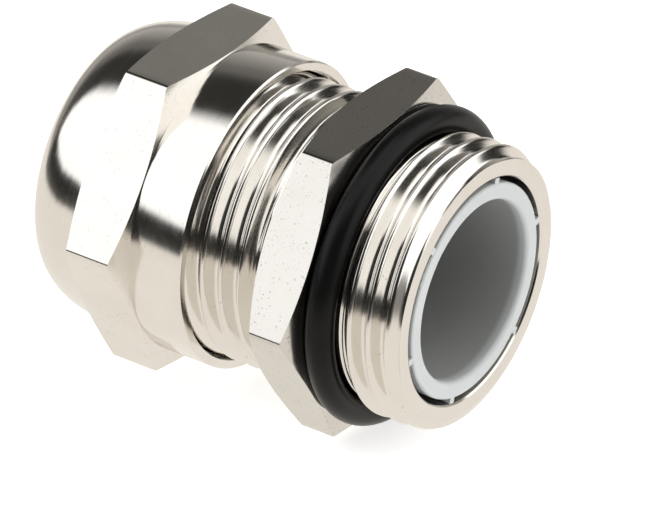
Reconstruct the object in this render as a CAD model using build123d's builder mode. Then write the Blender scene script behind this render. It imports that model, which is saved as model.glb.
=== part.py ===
"""Metric cable gland, M20 x 1.5, with a 22 mm spanner size, as an assembly.

Frame: millimetres. The gland lies on its side on a table, +Z up, its axis along X with
the entry thread towards +X and the dome nut towards -X. The origin is on the axis, in
the face of the body's hexagon that seats on the panel, so the wall of a junction box
lies at x > 0. Heights along the axis are called s below: s grows from the entry thread
towards the dome, so x = HEX_Z0 - s, and the entry end face is at END_Z. One flat of the body's hexagon
faces down. The gland is drawn with its dome nut backed off, before a cable is gripped.
"""

import math
import os

from build123d import *

os.makedirs("parts", exist_ok=True)

# ---------------------------------------------------------------- driving dimensions
PITCH = 1.5  # both threads, right-hand
THREAD_R = 9.98  # crest radius of the M20 male threads
ROOT_R = 9.10  # root radius of the male threads
NUT_ROOT_R = 10.12  # root radius of the female thread
NUT_CREST_R = 9.26  # crest radius of the female thread
FLANK_GAP = 0.07  # axial play on each flank of the nut's thread
SPANNER = 22.0  # across flats, both hexagons
CORNER_R = SPANNER / math.sqrt(3)
HEX_ROUND = 0.5  # radius on the hexagons' corners, as on drawn bar

# gland body
END_Z = 0.40  # entry end face
HEX_Z0 = 7.0  # entry-side face of the hexagon, the one the O-ring seals on
HEX_Z1 = 11.0  # dome-side face of the hexagon
ENTRY_RELIEF_Z = 5.05  # the entry thread stops here, the O-ring sits above
COMP_Z0 = 12.1  # start of the compression thread
BODY_TOP = 20.0
BORE_R = 8.06  # through bore of the body
SEAT_R = 8.72  # counterbore for the clamp sleeve's collar
SEAT_Z = 18.4

# entry O-ring, 18.6 x 2
O_RING_R = 10.28
O_CORD_R = 1.0
O_RING_Z = HEX_Z0 - O_CORD_R

# dome nut
NUT_Z0 = 16.85  # end face of the skirt, the nut backed off
NUT_HEX_Z0 = 20.9
NUT_HEX_Z1 = 24.95
SKIRT_R = 10.93
SKIRT_BORE_R = 10.30
NUT_TOP = 30.55
MOUTH_R = 6.90
TRAVEL = 4.2  # how far the nut comes down, 2.8 turns

# cone that drives the fingers: radius CONE_R at height CONE_Z, narrowing upwards
CONE_R = 9.20
CONE_Z = 25.4
CONE_SLOPE = 0.524
RING_T = 0.58  # radial thickness of the thrust ring
RING_GAP = 0.06
RING_Z0 = 24.95
RING_Z1 = 29.25

# clamp insert and seal
SLEEVE_R = 6.40  # inside radius of the clamp sleeve
SLEEVE_OUT_R = 7.64
SLEEVE_Z0 = END_Z + 0.02
RIB_R = 8.0
RIBS = 6
COLLAR_Z1 = 20.35
FINGERS = 12
PIVOT_R = 8.30
PIVOT_Z = 20.95
KNUCKLE_R = 0.55
FINGER_IN_R = 7.62
FINGER_OUT_R = 8.98
FINGER_TOP = 25.85
SEAL_R = 6.40
SEAL_OUT_R = 7.50


# radial profiles are drawn in PROFILE: local x is the radius (upwards), local y is s
PROFILE = Plane(origin=(HEX_Z0, 0, 0), x_dir=(0, 0, 1), z_dir=(0, -1, 0))
# cross sections are drawn in SECTION offset by s: local x up, local y towards +Y
SECTION = Plane(origin=(HEX_Z0, 0, 0), x_dir=(0, 0, 1), z_dir=(-1, 0, 0))
AXIS = Axis((0, 0, 0), (-1, 0, 0))
# a finger is outlined in TANGENT, seen along its radius: local x across, local y is s
TANGENT = Plane(origin=(HEX_Z0, 0, 0), x_dir=(0, 1, 0), z_dir=(0, 0, 1))


def profile_through(point):
    """The profile plane turned about the axis until its local x points at a point."""
    radial = Vector(0, point.Y, point.Z).normalized()
    return Plane(origin=(HEX_Z0, 0, 0), x_dir=radial, z_dir=radial.cross(Vector(-1, 0, 0)))


def cone_r(z):
    """Inside radius of the thrust ring's cone at height z, the nut backed off."""
    return CONE_R - CONE_SLOPE * (z - CONE_Z)


def ridge_half(r):
    """Half the axial width of a 60 degree male thread ridge at radius r."""
    return PITCH / 16 + (THREAD_R - r) * math.tan(math.radians(30))


def groove_ridge_half(r):
    """Half the axial width at radius r of the female ridge that runs in the groove."""
    return PITCH / 2 - ridge_half(r) - FLANK_GAP


# ---------------------------------------------------------------- thread ridges
# Each ridge is a trapezoid swept along a right-hand helix, its foot sunk a little into
# the core, and trimmed to the thread's length with the lead-in and run-out chamfers.
R_FOOT = ROOT_R - 0.06
R_MID = 9.5

with BuildPart() as entry_ridge:
    with BuildLine():
        entry_helix = Helix(
            pitch=PITCH,
            height=PITCH * 5,
            radius=R_MID,
            center=(HEX_Z0 + 0.85, 0, 0),
            direction=(-1, 0, 0),
        )
    with BuildSketch(profile_through(entry_helix @ 0)):
        with BuildLine():
            Polyline(
                (R_FOOT, -0.85 - ridge_half(R_FOOT)),
                (THREAD_R, -0.85 - ridge_half(THREAD_R)),
                (THREAD_R, -0.85 + ridge_half(THREAD_R)),
                (R_FOOT, -0.85 + ridge_half(R_FOOT)),
                close=True,
            )
        make_face()
    sweep(is_frenet=True)
    with BuildSketch(PROFILE):
        with BuildLine():
            Polyline(
                (8.8, 0.80),
                (9.80, 0.80),
                (THREAD_R + 0.02, 1.19),
                (THREAD_R + 0.3, 1.30),
                (THREAD_R + 0.3, ENTRY_RELIEF_Z - 0.9),
                (ROOT_R - 0.1, ENTRY_RELIEF_Z),
                (8.8, ENTRY_RELIEF_Z),
                close=True,
            )
        make_face()
    revolve(axis=AXIS, mode=Mode.INTERSECT)

with BuildPart() as comp_ridge:
    with BuildLine():
        comp_helix = Helix(
            pitch=PITCH,
            height=PITCH * 7,
            radius=R_MID,
            center=(HEX_Z0 - 10.9, 0, 0),
            direction=(-1, 0, 0),
        )
    with BuildSketch(profile_through(comp_helix @ 0)):
        with BuildLine():
            Polyline(
                (R_FOOT, 10.9 - ridge_half(R_FOOT)),
                (THREAD_R, 10.9 - ridge_half(THREAD_R)),
                (THREAD_R, 10.9 + ridge_half(THREAD_R)),
                (R_FOOT, 10.9 + ridge_half(R_FOOT)),
                close=True,
            )
        make_face()
    sweep(is_frenet=True)
    with BuildSketch(PROFILE):
        with BuildLine():
            Polyline(
                (8.8, COMP_Z0),
                (ROOT_R - 0.1, COMP_Z0),
                (THREAD_R + 0.3, COMP_Z0 + 0.9),
                (THREAD_R + 0.3, BODY_TOP - 1.2),
                (ROOT_R - 0.1, BODY_TOP - 0.05),
                (8.8, BODY_TOP - 0.05),
                close=True,
            )
        make_face()
    revolve(axis=AXIS, mode=Mode.INTERSECT)

FEM_Z = 10.9 + PITCH * 3 + PITCH / 2  # half a pitch out of step with the male ridge
R_BACK = NUT_ROOT_R + 0.06
with BuildPart() as nut_ridge:
    with BuildLine():
        nut_helix = Helix(
            pitch=PITCH,
            height=PITCH * 6,
            radius=9.7,
            center=(HEX_Z0 - FEM_Z, 0, 0),
            direction=(-1, 0, 0),
        )
    with BuildSketch(profile_through(nut_helix @ 0)):
        with BuildLine():
            Polyline(
                (R_BACK, FEM_Z - groove_ridge_half(THREAD_R) - 0.03),
                (NUT_ROOT_R, FEM_Z - groove_ridge_half(THREAD_R) - 0.01),
                (NUT_CREST_R, FEM_Z - groove_ridge_half(NUT_CREST_R)),
                (NUT_CREST_R, FEM_Z + groove_ridge_half(NUT_CREST_R)),
                (NUT_ROOT_R, FEM_Z + groove_ridge_half(THREAD_R) + 0.01),
                (R_BACK, FEM_Z + groove_ridge_half(THREAD_R) + 0.03),
                close=True,
            )
        make_face()
    sweep(is_frenet=True)
    with BuildSketch(PROFILE):
        with BuildLine():
            Polyline(
                (10.35, NUT_Z0 + 0.55),
                (NUT_ROOT_R, NUT_Z0 + 0.55),
                (NUT_CREST_R - 0.1, NUT_Z0 + 1.5),
                (NUT_CREST_R - 0.1, 23.4),
                (NUT_ROOT_R + 0.02, 24.1),
                (10.35, 24.1),
                close=True,
            )
        make_face()
    revolve(axis=AXIS, mode=Mode.INTERSECT)

# ---------------------------------------------------------------- gland body (brass)
with BuildPart() as body_hex:
    with BuildSketch(SECTION.offset(HEX_Z0)):
        RegularPolygon(radius=CORNER_R, side_count=6, rotation=30)
        fillet(vertices(), radius=HEX_ROUND)
    extrude(amount=HEX_Z1 - HEX_Z0)
    with BuildSketch(PROFILE):
        with BuildLine():
            Polyline(
                (0, HEX_Z0),
                (10.75, HEX_Z0),
                (CORNER_R + 0.05, HEX_Z0 + 0.66),
                (CORNER_R + 0.05, HEX_Z1 - 1.02),
                (10.80, HEX_Z1),
                (0, HEX_Z1),
                close=True,
            )
        make_face()
    revolve(axis=AXIS, mode=Mode.INTERSECT)

with BuildPart() as gland_body:
    with BuildSketch(PROFILE):
        with BuildLine():
            Polyline(
                (BORE_R + 0.10, END_Z),
                (9.20, END_Z),
                (9.33, END_Z + 0.06),
                (9.70, END_Z + 0.20),
                (9.86, 0.92),
                (ROOT_R, 1.36),
                (ROOT_R, ENTRY_RELIEF_Z),
                (9.26, ENTRY_RELIEF_Z + 0.15),
                (9.26, HEX_Z0 + 0.5),
                (9.26, HEX_Z1 - 0.5),
                (9.02, HEX_Z1),
                (9.02, COMP_Z0),
                (ROOT_R, COMP_Z0 + 0.1),
                (ROOT_R, BODY_TOP - 0.15),
                (ROOT_R - 0.12, BODY_TOP),
                (SEAT_R, BODY_TOP),
                (SEAT_R, SEAT_Z),
                (BORE_R, SEAT_Z),
                (BORE_R, END_Z + 0.12),
                close=True,
            )
        make_face()
    revolve(axis=AXIS)
    add(body_hex.part)
    with BuildSketch(SECTION.offset(HEX_Z0 - 0.5)):
        Circle(BORE_R)
    extrude(amount=HEX_Z1 - HEX_Z0 + 1.0, mode=Mode.SUBTRACT)
    add(entry_ridge.part)
    add(comp_ridge.part)

# ---------------------------------------------------------------- entry O-ring (rubber)
with BuildPart() as entry_o_ring:
    with BuildSketch(PROFILE):
        with Locations((O_RING_R, O_RING_Z)):
            Circle(O_CORD_R)
    revolve(axis=AXIS)

# ---------------------------------------------------------------- dome nut (brass)
with BuildPart() as nut_hex:
    with BuildSketch(SECTION.offset(NUT_HEX_Z0)):
        RegularPolygon(radius=CORNER_R, side_count=6, rotation=35)
        fillet(vertices(), radius=HEX_ROUND)
    extrude(amount=NUT_HEX_Z1 + 0.55 - NUT_HEX_Z0)
    with BuildSketch(PROFILE):
        with BuildLine():
            Polyline(
                (0, NUT_HEX_Z0),
                (10.80, NUT_HEX_Z0),
                (CORNER_R + 0.05, NUT_HEX_Z0 + 0.68),
                (CORNER_R + 0.05, NUT_HEX_Z1 - 0.1),
                (10.76, NUT_HEX_Z1 + 0.55),
                (0, NUT_HEX_Z1 + 0.55),
                close=True,
            )
        make_face()
    revolve(axis=AXIS, mode=Mode.INTERSECT)

NUT_CONE_OUT = RING_T + RING_GAP  # radial step from the ring's cone to the nut's cone
with BuildPart() as dome_nut:
    with BuildSketch(PROFILE):
        with BuildLine():
            Polyline(
                (0, NUT_Z0),
                (SKIRT_R - 0.12, NUT_Z0),
                (SKIRT_R, NUT_Z0 + 0.12),
                (SKIRT_R, NUT_HEX_Z0),
                (10.78, NUT_HEX_Z0 + 0.5),
                (10.78, NUT_HEX_Z1 + 0.5),
            )
            Spline(
                (10.78, NUT_HEX_Z1 + 0.5),
                (10.65, 26.4),
                (10.45, 27.5),
                (10.14, 28.5),
                (9.66, 29.4),
                (8.98, 30.06),
                (8.12, 30.42),
                (7.40, NUT_TOP),
                tangents=((-0.05, 1.0), (-1.0, 0.10)),
            )
            Polyline((7.40, NUT_TOP), (0, NUT_TOP), (0, NUT_Z0))
        make_face()
    revolve(axis=AXIS)
    add(nut_hex.part)
    with BuildSketch(PROFILE):
        with BuildLine():
            Polyline(
                (0, NUT_Z0 - 1),
                (SKIRT_BORE_R, NUT_Z0 - 1),
                (SKIRT_BORE_R, NUT_Z0 + 0.35),
                (NUT_ROOT_R, NUT_Z0 + 0.60),
                (NUT_ROOT_R, 24.15),
                (cone_r(RING_Z0 - 0.06) + NUT_CONE_OUT, RING_Z0 - 0.06),
                (cone_r(RING_Z1 + 0.06) + NUT_CONE_OUT, RING_Z1 + 0.06),
                (MOUTH_R + 0.18, RING_Z1 + 0.06),
                (MOUTH_R, RING_Z1 + 0.24),
                (MOUTH_R, NUT_TOP - 0.12),
                (MOUTH_R + 0.3, NUT_TOP + 0.18),
                (MOUTH_R + 0.3, NUT_TOP + 1),
                (0, NUT_TOP + 1),
                close=True,
            )
        make_face()
    revolve(axis=AXIS, mode=Mode.SUBTRACT)
    add(nut_ridge.part)

# ---------------------------------------------------------------- thrust ring (polymer)
with BuildPart() as thrust_ring:
    with BuildSketch(PROFILE):
        with BuildLine():
            Polyline(
                (cone_r(RING_Z0), RING_Z0),
                (cone_r(RING_Z0) + RING_T, RING_Z0),
                (cone_r(RING_Z1) + RING_T, RING_Z1),
                (cone_r(RING_Z1), RING_Z1),
                close=True,
            )
        make_face()
    revolve(axis=AXIS)

# ---------------------------------------------------------------- clamp sleeve (polymer)
with BuildPart() as clamp_sleeve:
    with BuildSketch(PROFILE):
        with BuildLine():
            Polyline(
                (SLEEVE_R, SLEEVE_Z0),
                (SLEEVE_OUT_R, SLEEVE_Z0),
                (SLEEVE_OUT_R, SEAT_Z),
                (SEAT_R - 0.02, SEAT_Z),
                (SEAT_R - 0.02, COLLAR_Z1),
                (SEAL_OUT_R + 0.02, COLLAR_Z1),
                (SEAL_OUT_R + 0.02, 18.9),
                (SLEEVE_R, 18.9),
                close=True,
            )
        make_face()
        # the moulded rim is rounded, more on the inside
        fillet(vertices().group_by(Axis.Y)[0].sort_by(Axis.X)[0], radius=0.32)
        fillet(vertices().group_by(Axis.Y)[0].sort_by(Axis.X)[-1], radius=0.16)
    revolve(axis=AXIS)
    # guide ribs that centre the sleeve in the bore
    with BuildSketch(SECTION.offset(SLEEVE_Z0 + 0.05)):
        with PolarLocations(0, RIBS, start_angle=20):
            with Locations((0.5 * (RIB_R + SLEEVE_OUT_R - 0.15), 0)):
                Rectangle(RIB_R - SLEEVE_OUT_R + 0.15, 0.5)
    extrude(amount=SEAT_Z - SLEEVE_Z0 - 0.05)

# ---------------------------------------------------------------- seal sleeve (rubber)
with BuildPart() as seal_sleeve:
    with BuildSketch(PROFILE):
        with BuildLine():
            Polyline(
                (SEAL_R, 18.92),
                (SEAL_OUT_R, 18.92),
                (SEAL_OUT_R, FINGER_TOP - 0.35),
                (SEAL_OUT_R - 0.3, FINGER_TOP - 0.15),
                (SEAL_R, FINGER_TOP - 0.15),
                close=True,
            )
        make_face()
    revolve(axis=AXIS)
    # two soft beads inside the grip zone are left to the finish: the bore stays plain

# ---------------------------------------------------------------- clamp fingers (polymer)
STEP = 360 / FINGERS
with BuildPart() as finger_blank:
    with BuildSketch(PROFILE):
        with BuildLine():
            Polyline(
                (FINGER_IN_R, PIVOT_Z + 0.25),
                (FINGER_OUT_R - 0.25, PIVOT_Z + 0.25),
                (FINGER_OUT_R, PIVOT_Z + 1.2),
                (FINGER_OUT_R, FINGER_TOP - 0.45),
                (FINGER_OUT_R - 0.15, FINGER_TOP - 0.12),
                (FINGER_OUT_R - 0.45, FINGER_TOP),
                (FINGER_IN_R + 0.15, FINGER_TOP),
                (FINGER_IN_R, FINGER_TOP - 0.15),
                close=True,
            )
        make_face()
    revolve(axis=AXIS)
    # the blade narrows towards its tip, so twelve of them close without meeting
    with BuildSketch(TANGENT):
        with BuildLine():
            Polyline(
                (-1.74, PIVOT_Z - 1),
                (1.74, PIVOT_Z - 1),
                (1.74, PIVOT_Z + 0.8),
                (1.28, FINGER_TOP + 1),
                (-1.28, FINGER_TOP + 1),
                (-1.74, PIVOT_Z + 0.8),
                close=True,
            )
        make_face()
    extrude(amount=12, mode=Mode.INTERSECT)
    # round knuckle of the film hinge, its centre line is the hinge axis
    with BuildSketch(PROFILE.offset(-1.74)):
        with Locations((PIVOT_R, PIVOT_Z)):
            Circle(KNUCKLE_R)
    extrude(amount=3.48)

fingers = []
for i in range(FINGERS):
    with BuildPart() as finger:
        # turned about the gland's axis, the first one points up
        add(finger_blank.part, rotation=(-STEP * i, 0, 0))
    finger.part.label = "clamp_finger_%02d" % (i + 1)
    fingers.append(finger.part)

# ---------------------------------------------------------------- hand over the pieces
gland_body.part.label = "gland_body"
entry_o_ring.part.label = "entry_o_ring"
dome_nut.part.label = "dome_nut"
thrust_ring.part.label = "thrust_ring"
clamp_sleeve.part.label = "clamp_sleeve"
seal_sleeve.part.label = "seal_sleeve"

export_step(gland_body.part, "parts/gland_body.step")
export_step(entry_o_ring.part, "parts/entry_o_ring.step")
export_step(dome_nut.part, "parts/dome_nut.step")
export_step(thrust_ring.part, "parts/thrust_ring.step")
export_step(clamp_sleeve.part, "parts/clamp_sleeve.step")
export_step(seal_sleeve.part, "parts/seal_sleeve.step")
for finger_part in fingers:
    export_step(finger_part, "parts/%s.step" % finger_part.label)
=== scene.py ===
"""Looks for the cable gland: studio, camera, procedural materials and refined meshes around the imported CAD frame."""

import math

import bmesh
import bpy
import numpy as np
from mathutils import Matrix, Vector


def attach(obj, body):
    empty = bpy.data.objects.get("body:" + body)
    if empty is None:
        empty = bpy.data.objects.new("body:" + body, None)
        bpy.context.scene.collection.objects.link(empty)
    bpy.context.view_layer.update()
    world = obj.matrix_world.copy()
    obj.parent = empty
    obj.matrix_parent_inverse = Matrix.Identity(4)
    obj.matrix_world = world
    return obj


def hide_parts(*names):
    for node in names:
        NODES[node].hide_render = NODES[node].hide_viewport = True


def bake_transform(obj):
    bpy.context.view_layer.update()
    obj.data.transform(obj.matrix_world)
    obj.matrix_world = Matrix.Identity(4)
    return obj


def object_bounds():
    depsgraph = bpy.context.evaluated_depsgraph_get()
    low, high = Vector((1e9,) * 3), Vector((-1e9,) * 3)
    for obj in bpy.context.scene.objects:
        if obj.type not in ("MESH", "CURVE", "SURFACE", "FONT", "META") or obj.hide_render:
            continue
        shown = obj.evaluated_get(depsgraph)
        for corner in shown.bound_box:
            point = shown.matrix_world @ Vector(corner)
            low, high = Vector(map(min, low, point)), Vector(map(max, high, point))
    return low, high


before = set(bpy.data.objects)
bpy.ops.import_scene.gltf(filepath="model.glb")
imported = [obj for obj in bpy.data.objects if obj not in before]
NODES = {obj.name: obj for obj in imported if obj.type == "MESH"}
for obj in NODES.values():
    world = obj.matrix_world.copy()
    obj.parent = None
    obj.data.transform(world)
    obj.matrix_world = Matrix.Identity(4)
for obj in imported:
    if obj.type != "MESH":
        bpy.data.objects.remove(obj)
CAD_LO, CAD_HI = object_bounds()
scene = bpy.context.scene


# ------------------------------------------------------------------ node helpers
class Net:
    """Small helper to write shader nodes in a few words."""

    def __init__(self, tree):
        self.t = tree
        self.t.nodes.clear()

    def n(self, kind, **props):
        node = self.t.nodes.new(kind)
        for k, v in props.items():
            setattr(node, k, v)
        return node

    def link(self, a, b):
        self.t.links.new(a, b)
        return b

    def put(self, socket, value):
        if hasattr(value, "is_output") or isinstance(value, bpy.types.NodeSocket):
            self.t.links.new(value, socket)
        else:
            socket.default_value = value

    def math(self, op, a, b=None, c=None, clamp=False):
        m = self.n("ShaderNodeMath", operation=op, use_clamp=clamp)
        self.put(m.inputs[0], a)
        if b is not None:
            self.put(m.inputs[1], b)
        if c is not None:
            self.put(m.inputs[2], c)
        return m.outputs[0]

    def ramp(self, fac, stops, interp="LINEAR"):
        r = self.n("ShaderNodeValToRGB")
        r.color_ramp.interpolation = interp
        el = r.color_ramp.elements
        while len(el) > len(stops):
            el.remove(el[-1])
        while len(el) < len(stops):
            el.new(1.0)
        for e, (p, c) in zip(el, stops):
            e.position = p
            e.color = (c, c, c, 1) if isinstance(c, (int, float)) else (*c, 1)
        self.put(r.inputs[0], fac)
        return r.outputs[0]

    def mix(self, fac, a, b, kind="MIX"):
        m = self.n("ShaderNodeMix", data_type="RGBA", blend_type=kind)
        self.put(m.inputs[0], fac)
        self.put(m.inputs[6], a if not isinstance(a, tuple) else (*a, 1))
        self.put(m.inputs[7], b if not isinstance(b, tuple) else (*b, 1))
        return m.outputs[2]

    def noise(self, vec, scale, detail=2.0, rough=0.5, dims="3D"):
        m = self.n("ShaderNodeTexNoise", noise_dimensions=dims)
        if vec is not None:
            self.put(m.inputs["Vector"], vec)
        m.inputs["Scale"].default_value = scale
        m.inputs["Detail"].default_value = detail
        m.inputs["Roughness"].default_value = rough
        return m.outputs[0]

    def mapping(self, vec, scale=(1, 1, 1), loc=(0, 0, 0)):
        m = self.n("ShaderNodeMapping")
        self.put(m.inputs["Vector"], vec)
        m.inputs["Scale"].default_value = scale
        m.inputs["Location"].default_value = loc
        return m.outputs[0]


def material(name):
    m = bpy.data.materials.new(name)
    m.use_nodes = True
    return m, Net(m.node_tree)


def nickel(name, flats, dull=1.0, speck=0.42):
    """Nickel plate on turned brass; flats gives the x range of the drawn hexagon, which is speckled and duller."""
    m, g = material(name)
    out = g.n("ShaderNodeOutputMaterial")
    b = g.n("ShaderNodeBsdfPrincipled")
    g.link(b.outputs[0], out.inputs[0])
    co = g.n("ShaderNodeTexCoord").outputs["Object"]
    # turned surfaces carry fine circular tool marks, so they vary along the axis only
    lathe = g.noise(g.mapping(co, (1, 0.02, 0.02)), 11000, 2, 0.6)
    broad = g.noise(g.mapping(co, (1, 0.05, 0.05)), 2600, 2, 0.5)
    cloud = g.noise(co, 240, 3, 0.55)
    pits = g.noise(co, 6200, 3, 0.6)
    wear = g.noise(co, 900, 2, 0.5)
    sx = g.n("ShaderNodeSeparateXYZ")
    g.link(co, sx.inputs[0])
    hexa = g.math("MULTIPLY", g.math("GREATER_THAN", sx.outputs[0], flats[0]), g.math("LESS_THAN", sx.outputs[0], flats[1]))
    edge = g.math("MULTIPLY_ADD", hexa, 0.045, g.math("MULTIPLY_ADD", wear, 0.16, 0.205))
    pit = g.n("ShaderNodeMapRange")
    g.link(pits, pit.inputs[0])
    g.link(g.math("SUBTRACT", edge, 0.035), pit.inputs[1])
    g.link(g.math("ADD", edge, 0.035), pit.inputs[2])
    pit.inputs[3].default_value, pit.inputs[4].default_value = 1.0, 0.0
    pit = pit.outputs[0]
    tint = g.ramp(cloud, [(0.3, (0.775, 0.748, 0.705)), (0.7, (0.825, 0.80, 0.76))])
    tint = g.mix(hexa, tint, g.mix(1.0, tint, (dull, dull, dull), kind="MULTIPLY"))
    g.link(g.mix(g.math("MULTIPLY", pit, speck), tint, (0.24, 0.225, 0.19)), b.inputs["Base Color"])
    b.inputs["Metallic"].default_value = 1.0
    rough = g.math("ADD", g.math("MULTIPLY", g.math("MULTIPLY", lathe, g.math("MULTIPLY_ADD", hexa, -0.6, 1.0)), 0.12), g.math("MULTIPLY_ADD", cloud, 0.10, 0.02))
    g.link(g.math("ADD", rough, g.math("MULTIPLY", hexa, 0.05)), b.inputs["Roughness"])
    h = g.math("ADD", g.math("MULTIPLY", lathe, 0.5), g.math("MULTIPLY", broad, 0.9))
    h = g.math("MULTIPLY", h, g.math("MULTIPLY_ADD", hexa, -0.8, 1.0))
    h = g.math("SUBTRACT", h, g.math("MULTIPLY", pit, 0.35))
    bump = g.n("ShaderNodeBump")
    bump.inputs["Strength"].default_value = 0.20
    bump.inputs["Distance"].default_value = 0.00003
    g.link(h, bump.inputs["Height"])
    g.link(bump.outputs[0], b.inputs["Normal"])
    return m


def rubber(name, level=0.018):
    m, g = material(name)
    out = g.n("ShaderNodeOutputMaterial")
    b = g.n("ShaderNodeBsdfPrincipled")
    g.link(b.outputs[0], out.inputs[0])
    co = g.n("ShaderNodeTexCoord").outputs["Object"]
    fine = g.noise(co, 6500, 3, 0.6)
    cloud = g.noise(co, 300, 2, 0.5)
    g.link(g.ramp(cloud, [(0.3, (level * 0.8,) * 3), (0.7, (level * 1.3,) * 3)]), b.inputs["Base Color"])
    g.link(g.math("MULTIPLY_ADD", fine, 0.16, 0.24), b.inputs["Roughness"])
    b.inputs["Specular IOR Level"].default_value = 0.17
    bump = g.n("ShaderNodeBump")
    bump.inputs["Strength"].default_value = 0.15
    bump.inputs["Distance"].default_value = 0.00002
    g.link(fine, bump.inputs["Height"])
    g.link(bump.outputs[0], b.inputs["Normal"])
    return m


def plastic(name, rgb, rough=0.42, painted_bore_shade=None):
    m, g = material(name)
    out = g.n("ShaderNodeOutputMaterial")
    b = g.n("ShaderNodeBsdfPrincipled")
    g.link(b.outputs[0], out.inputs[0])
    co = g.n("ShaderNodeTexCoord").outputs["Object"]
    fine = g.noise(co, 5200, 2, 0.5)
    cloud = g.noise(co, 220, 2, 0.5)
    a = tuple(c * 0.96 for c in rgb)
    z = tuple(min(1, c * 1.03) for c in rgb)
    col = g.ramp(cloud, [(0.3, a), (0.7, z)])
    if painted_bore_shade:
        # painted shade: the sleeve's skin is one light grey, kept pale at the rim and darkened down the bore, away
        # from x = 6.5 mm, where shade falls inside it
        sx = g.n("ShaderNodeSeparateXYZ")
        g.link(co, sx.inputs[0])
        bore_shade_ramp = g.n("ShaderNodeMapRange", interpolation_type="SMOOTHSTEP")
        g.link(sx.outputs[0], bore_shade_ramp.inputs[0])
        bore_shade_ramp.inputs[1].default_value, bore_shade_ramp.inputs[2].default_value = 0.0056, 0.0062
        bore_shade_ramp.inputs[3].default_value, bore_shade_ramp.inputs[4].default_value = 1.0, 0.0
        col = g.mix(bore_shade_ramp.outputs[0], col, painted_bore_shade)
    g.link(col, b.inputs["Base Color"])
    g.link(g.math("MULTIPLY_ADD", fine, 0.10, rough - 0.05), b.inputs["Roughness"])
    bump = g.n("ShaderNodeBump")
    bump.inputs["Strength"].default_value = 0.08
    bump.inputs["Distance"].default_value = 0.00002
    g.link(fine, bump.inputs["Height"])
    g.link(bump.outputs[0], b.inputs["Normal"])
    return m


NICKEL = nickel("nickel_plate_body", (-0.0040, -0.0001), dull=0.84, speck=0.75)
NICKEL_NUT = nickel("nickel_plate_nut", (-0.0180, -0.0140))
RUBBER = rubber("nitrile_black", 0.004)
SEAL = rubber("chloroprene_seal", 0.03)
# the clamp sleeve's second, darker colour is painted shade down its bore, not a colour of the polyamide
GREY = plastic("polyamide_light_grey", (0.57, 0.595, 0.595), painted_bore_shade=(0.325, 0.332, 0.325))
ACETAL = plastic("acetal_natural", (0.74, 0.74, 0.70))


# ------------------------------------------------------------------ refined metal meshes
SEAT_S = 7.0  # s of the panel seat: s runs in mm from the entry end towards the dome, x = (7 - s) mm
PITCH = 1.5


def rs(co):
    """Radius and s of a point, in millimetres."""
    return math.hypot(co.y, co.z) * 1000, SEAT_S - co.x * 1000


def edged(node, body, width, segments=2, angle=28.0, drop=None):
    """A copy of a CAD node with its sharp edges broken by a small radius, in place of the node."""
    src = NODES[node]
    me = src.data.copy()
    me.name = node + "_edged"
    ob = bpy.data.objects.new(node + "_edged", me)
    scene.collection.objects.link(ob)
    ob.matrix_world = src.matrix_world.copy()
    bm = bmesh.new()
    bm.from_mesh(me)
    bmesh.ops.remove_doubles(bm, verts=bm.verts, dist=2e-6)
    bmesh.ops.dissolve_degenerate(bm, dist=1e-6, edges=bm.edges)
    if drop:
        gone = [f for f in bm.faces if drop([rs(v.co) for v in f.verts])]
        bmesh.ops.delete(bm, geom=gone, context="FACES")
    for f in bm.faces:
        f.smooth = True
    bm.to_mesh(me)
    bm.free()
    if me.has_custom_normals:
        me.attributes.remove(me.attributes["custom_normal"]) if "custom_normal" in me.attributes else None
    mod = ob.modifiers.new("edges", "BEVEL")
    mod.width = width
    mod.segments = segments
    mod.limit_method = "ANGLE"
    mod.angle_limit = math.radians(angle)
    mod.use_clamp_overlap = True
    mod.harden_normals = True
    mod.miter_outer = "MITER_SHARP"
    dg = bpy.context.evaluated_depsgraph_get()
    new = bpy.data.meshes.new_from_object(ob.evaluated_get(dg))
    ob.modifiers.clear()
    ob.data = new
    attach(ob, body)
    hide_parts(node)
    return ob


def smin(a, b, k):
    h = np.maximum(k - np.abs(a - b), 0) / k
    return np.minimum(a, b) - h * h * k / 4


def smax(a, b, k):
    return -smin(-a, -b, k)


def lathe_thread(name, phase, rows, core, env, crest=9.98, k_top=0.20, k_root=0.26, n=300, first=None, last=None):
    """Outer surface of a male thread as one fine mesh: a right-hand 60 degree ridge with
    rounded crest and root on a turned core, inside the envelope of its lead-in and run-out."""
    sg, pg = np.meshgrid(rows, np.arange(n) * 360.0 / n, indexing="ij")
    d = np.abs((sg - phase - PITCH * pg / 360 + PITCH / 2) % PITCH - PITCH / 2)
    flank = crest - (d - PITCH / 16) / math.tan(math.radians(30))
    ridge = smin(flank, np.full_like(flank, crest), k_top)
    ridge = smin(ridge, np.interp(sg, *zip(*env)), 0.06)
    r = smax(ridge, np.interp(sg, *zip(*core)), k_root)
    r = np.minimum(r, np.interp(sg, *zip(*env)))
    if first:
        sg = np.vstack([np.full((1, n), first[1]), sg])
        pg = np.vstack([pg[:1], pg])
        r = np.vstack([np.full((1, n), first[0]), r])
    if last:
        sg = np.vstack([sg, np.full((1, n), last[1])])
        pg = np.vstack([pg, pg[:1]])
        r = np.vstack([r, np.full((1, n), last[0])])
    rad = np.radians(pg)
    pts = np.stack([(SEAT_S - sg) / 1000, r * np.sin(rad) / 1000, r * np.cos(rad) / 1000], -1).reshape(-1, 3)
    m = sg.shape[0]
    a = np.arange(m - 1)[:, None] * n + np.arange(n)[None, :]
    b = np.arange(m - 1)[:, None] * n + (np.arange(n)[None, :] + 1) % n
    quads = np.stack([a, b, b + n, a + n], -1).reshape(-1, 4)
    me = bpy.data.meshes.new(name)
    me.from_pydata(pts.tolist(), [], quads.tolist())
    me.polygons.foreach_set("use_smooth", [True] * len(me.polygons))
    me.update()
    ob = bpy.data.objects.new(name, me)
    scene.collection.objects.link(ob)
    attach(ob, "root")
    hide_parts("gland_body")
    return ob


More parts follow.
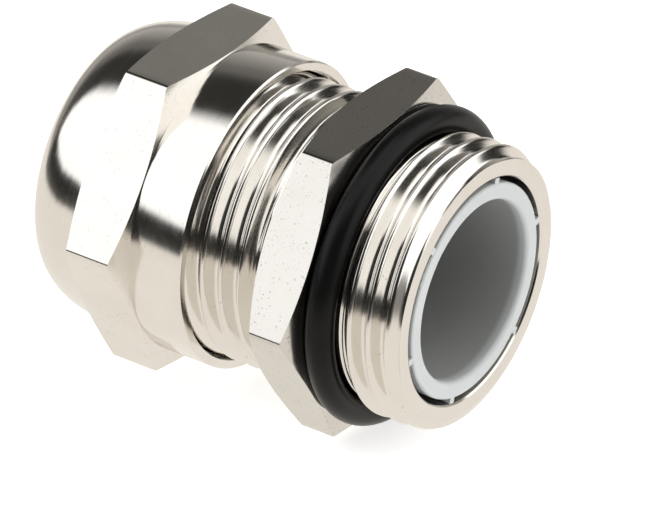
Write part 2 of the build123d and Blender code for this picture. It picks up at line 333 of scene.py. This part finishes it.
def is_thread(q):
    """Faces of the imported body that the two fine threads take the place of."""
    rmin = min(r for r, _ in q)
    lo, hi = min(t for _, t in q), max(t for _, t in q)
    entry = rmin > 9.05 and hi < 5.21 and hi > 0.41
    comp = rmin > 8.9 and lo > 10.99 and hi < 20.01 and hi > 11.01
    return entry or comp


body_piece = edged("gland_body", "root", 0.00007, drop=is_thread)
nut_piece = edged("dome_nut", "nut", 0.00007)
entry_band = lathe_thread(
    "entry_thread_band",
    1.40,
    np.concatenate([np.linspace(0.40, 0.60, 6), np.arange(0.64, 5.24, 0.045), [5.25]]),
    core=[(0.0, 9.10), (5.05, 9.10), (5.20, 9.26), (6.0, 9.26)],
    env=[(0.40, 9.20), (0.45, 9.33), (0.60, 9.70), (1.15, 9.98), (1.3, 10.2), (4.15, 10.28), (5.05, 9.0), (5.051, 9.30), (6.0, 9.30)],
    first=(9.12, 0.41),
)
comp_band = lathe_thread(
    "compression_thread_band",
    1.15,
    np.concatenate([[11.0], np.arange(11.9, 19.98, 0.045), [20.0]]),
    core=[(11.0, 9.02), (12.1, 9.02), (12.2, 9.10), (19.85, 9.10), (20.0, 8.98)],
    env=[(11.0, 9.3), (12.0, 9.3), (12.1, 9.12), (12.101, 9.0), (13.0, 10.28), (18.8, 10.28), (19.95, 9.0), (19.951, 9.3), (20.0, 9.3)],
    first=(8.96, 10.99),
    last=(8.90, 19.99),
)


# ------------------------------------------------------------------ seal sleeve (rubber)
def seal_sector(i, n=12):
    """One sector of the seal sleeve, with the soft beads it grips the cable with."""
    half = math.pi / n
    prof = []
    for t in np.linspace(18.95, 25.55, 67):
        bead = 0.0
        for c in (21.9, 23.3, 24.7):
            bead += 0.16 * math.exp(-(((t - c) / 0.30) ** 2))
        prof.append((t, 6.62 - bead))
    tip = [(25.55 + 0.15 * math.sin(q), 6.77 - 0.15 * math.cos(q)) for q in np.linspace(0.2, math.pi / 2, 5)]
    back = [(25.70, 7.2), (25.66, 7.36), (25.52, 7.47), (25.0, 7.49), (23.0, 7.49), (21.0, 7.49), (20.0, 7.49), (18.95, 7.49)]
    ring = prof + tip + back
    na = 9
    verts, faces = [], []
    for k in range(na):
        w = -1 + 2 * k / (na - 1)
        ph = 2 * math.pi * i / n + w * half
        for t, r in ring:
            verts.append(((SEAT_S - t) / 1000, r * math.sin(ph) / 1000, r * math.cos(ph) / 1000))
    m = len(ring)
    for k in range(na - 1):
        for q in range(m):
            a0, b0 = k * m + q, k * m + (q + 1) % m
            faces.append((a0, a0 + m, b0 + m, b0))
    faces.append(tuple(range(m)))
    faces.append(tuple(range(na * m - 1, (na - 1) * m - 1, -1)))
    me = bpy.data.meshes.new("seal_sector_%02d" % (i + 1))
    me.from_pydata(verts, [], faces)
    bm = bmesh.new()
    bm.from_mesh(me)
    bmesh.ops.recalc_face_normals(bm, faces=bm.faces)
    bm.to_mesh(me)
    bm.free()
    me.polygons.foreach_set("use_smooth", [p.loop_total == 4 for p in me.polygons])
    me.materials.append(SEAL)
    ob = bpy.data.objects.new(me.name, me)
    scene.collection.objects.link(ob)
    r = 7.0
    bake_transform(ob)
    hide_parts("seal_sleeve")
    return ob


for i in range(12):
    seal_sector(i)

look = {
    "gland_body": NICKEL,
    "dome_nut": NICKEL_NUT,
    "entry_o_ring": RUBBER,
    "seal_sleeve": SEAL,
    "clamp_sleeve": GREY,
    "thrust_ring": ACETAL,
}
for name, ob in list(NODES.items()) + [("gland_body", body_piece), ("dome_nut", nut_piece), ("gland_body", entry_band), ("gland_body", comp_band)]:
    mat = look.get(name, GREY)
    if not ob.material_slots:
        ob.data.materials.append(mat)
    for s in ob.material_slots:
        s.material = mat

# ------------------------------------------------------------------ studio
FLOOR_Z = CAD_LO.z - 0.0001
bpy.ops.mesh.primitive_plane_add(size=3.0, location=(0, 0, FLOOR_Z))
floor = bpy.context.object
floor.name = "floor"
fm, g = material("floor_pale")
out = g.n("ShaderNodeOutputMaterial")
b = g.n("ShaderNodeBsdfPrincipled")
g.link(b.outputs[0], out.inputs[0])
b.inputs["Base Color"].default_value = (0.90, 0.90, 0.895, 1)
b.inputs["Roughness"].default_value = 0.9
b.inputs["Specular IOR Level"].default_value = 0.1
b.inputs["Emission Color"].default_value = (1, 1, 1, 1)
b.inputs["Emission Strength"].default_value = 0.70
floor.data.materials.append(fm)
floor.visible_glossy = False  # polished metal mirrors the studio below, drawn in the world

world = bpy.data.worlds.new("studio")
scene.world = world
world.use_nodes = True
g = Net(world.node_tree)
out = g.n("ShaderNodeOutputWorld")
bg = g.n("ShaderNodeBackground")
g.link(bg.outputs[0], out.inputs[0])
sep = g.n("ShaderNodeSeparateXYZ")
g.link(g.n("ShaderNodeTexCoord").outputs["Generated"], sep.inputs[0])
x, y, z = sep.outputs
DEG = math.pi / 180
elev = g.math("DIVIDE", g.math("ARCSINE", z), DEG)
azim = g.math("DIVIDE", g.math("ARCTAN2", x, g.math("MULTIPLY", y, -1.0)), DEG)  # 0 front, 90 right, -90 left
alpha = g.math("DIVIDE", g.math("ARCTAN2", z, g.math("MULTIPLY", y, -1.0)), DEG)  # 0 front, 90 overhead, 180 back


def step(v, lo, hi):
    """0 below lo, 1 above hi, smooth between (or the other way round if hi < lo)."""
    m = g.n("ShaderNodeMapRange", interpolation_type="SMOOTHSTEP")
    g.put(m.inputs[0], v)
    m.inputs[1].default_value, m.inputs[2].default_value = min(lo, hi), max(lo, hi)
    m.inputs[3].default_value, m.inputs[4].default_value = (0.0, 1.0) if lo < hi else (1.0, 0.0)
    return m.outputs[0]


def both(*vs):
    r = vs[0]
    for v in vs[1:]:
        r = g.math("MULTIPLY", r, v)
    return r


def curve(v, lo, hi, pts):
    """Piecewise linear level over v in degrees."""
    m = g.n("ShaderNodeMapRange")
    g.put(m.inputs[0], v)
    m.inputs[1].default_value, m.inputs[2].default_value = lo, hi
    return g.ramp(m.outputs[0], [((p - lo) / (hi - lo), c) for p, c in pts])


# the room: dark overhead, greying towards the back wall
room = curve(alpha, -180, 180, [(-180, 0.55), (-90, 0.3), (0, 0.02), (60, 0.05), (97, 0.03), (104, 0.018), (118, 0.012), (130, 0.045), (136, 0.11),
                                (141, 0.18), (148, 0.16), (154, 0.235), (166, 0.36), (180, 0.52)])
# left wall, paler low down
left = both(step(azim, -80, -92), curve(elev, -20, 60, [(-20, 0.9), (-12, 0.7), (-6, 0.40), (0, 0.24), (8, 0.11), (18, 0.07), (30, 0.035), (60, 0.03)]), step(azim, -165, -145))
left_on = both(step(azim, -80, -92), step(azim, -165, -145), step(alpha, 150, 120))
env = g.mix(1.0, g.mix(left_on, room, left), (1.0, 0.965, 0.90), kind="MULTIPLY")
# large soft box in front and above
box_l = g.math("MULTIPLY_ADD", elev, -0.42, -84.0)  # its left edge leans
box = both(step(g.math("SUBTRACT", azim, box_l), 0.0, 5.0), step(azim, -14, -20), step(elev, 5.0, 9.0), step(alpha, 100, 84))
env = g.mix(box, env, (1.38, 1.38, 1.38))
# upper right light and the low one at the right
top = both(step(x, -0.28, -0.10), step(elev, 52, 60))
env = g.mix(top, env, (1.5, 1.49, 1.47))
right_low = curve(azim, -180, 180, [(p, (v + 20) / 40) for p, v in ((-180, 2), (70, -1), (85, -2), (112, -9), (132, -9), (148, 2), (180, 4))])
right_low = g.math("MULTIPLY_ADD", right_low, 40.0, -20.0)
right = both(step(azim, 72, 77), step(azim, 158, 151), step(g.math("SUBTRACT", elev, right_low), 0.0, 2.5), step(elev, 62, 54))
env = g.mix(right, env, (1.5, 1.49, 1.47))
# the dark gap behind the table at the right
gap = both(step(azim, 142, 148), step(azim, 174, 168), step(elev, -10, -7), step(elev, 6, 1))
env = g.mix(gap, env, (0.02, 0.019, 0.017))
# the pale table as the metal mirrors it
table = both(step(g.math("ADD", elev, g.math("MULTIPLY", both(step(azim, 30, 80), step(azim, 150, 140)), 5.0)), -8.5, -13.0))
env = g.mix(table, env, g.mix(step(azim, 60, 120), (0.94, 0.895, 0.825), (0.95, 0.90, 0.835)))
g.link(env, bg.inputs["Color"])
bg.inputs["Strength"].default_value = 1.0


# ------------------------------------------------------------------ camera
# The gland's axis in camera space: AZ turns it below the picture's horizontal, TL towards
# the viewer, TUP turns its top side about the axis.
AZ, TL, TUP = 0.3572, 0.4840, 0.5090
PX, PY, SCALE, DIST = 475.5, 291.6, 15009.0, 0.600  # px, px, px per metre, metres
W, H = 650.0, 505.0
a = Vector((math.cos(TL) * math.cos(AZ), math.cos(TL) * math.sin(AZ), -math.sin(TL)))
up = Vector((0, -1, 0))
u = (up - a * up.dot(a)).normalized()
v = a.cross(u)
zc = u * math.cos(TUP) + v * math.sin(TUP)
yc = zc.cross(a)
R = Matrix((a, yc, zc)).transposed()  # CAD axes as columns, in camera space (x right, y down, z away)
C0 = Vector(((PX - W / 2) / SCALE, (PY - H / 2) / SCALE, DIST))
P0 = Vector((CAD_HI.x, 0, 0))
Rt = R.transposed()
loc = P0 + Rt @ (-C0)
right, upv, back = Rt @ Vector((1, 0, 0)), Rt @ Vector((0, -1, 0)), Rt @ Vector((0, 0, -1))
cd = bpy.data.cameras.new("camera")
cam = bpy.data.objects.new("camera", cd)
scene.collection.objects.link(cam)
cam.matrix_world = Matrix.Translation(loc) @ Matrix((right, upv, back)).transposed().to_4x4()
cd.sensor_width = 36.0
cd.lens = SCALE * DIST / W * 36.0
cd.clip_start, cd.clip_end = 0.01, 10.0
scene.camera = cam
scene.view_settings.view_transform = "Standard"
scene.view_settings.look = "None"
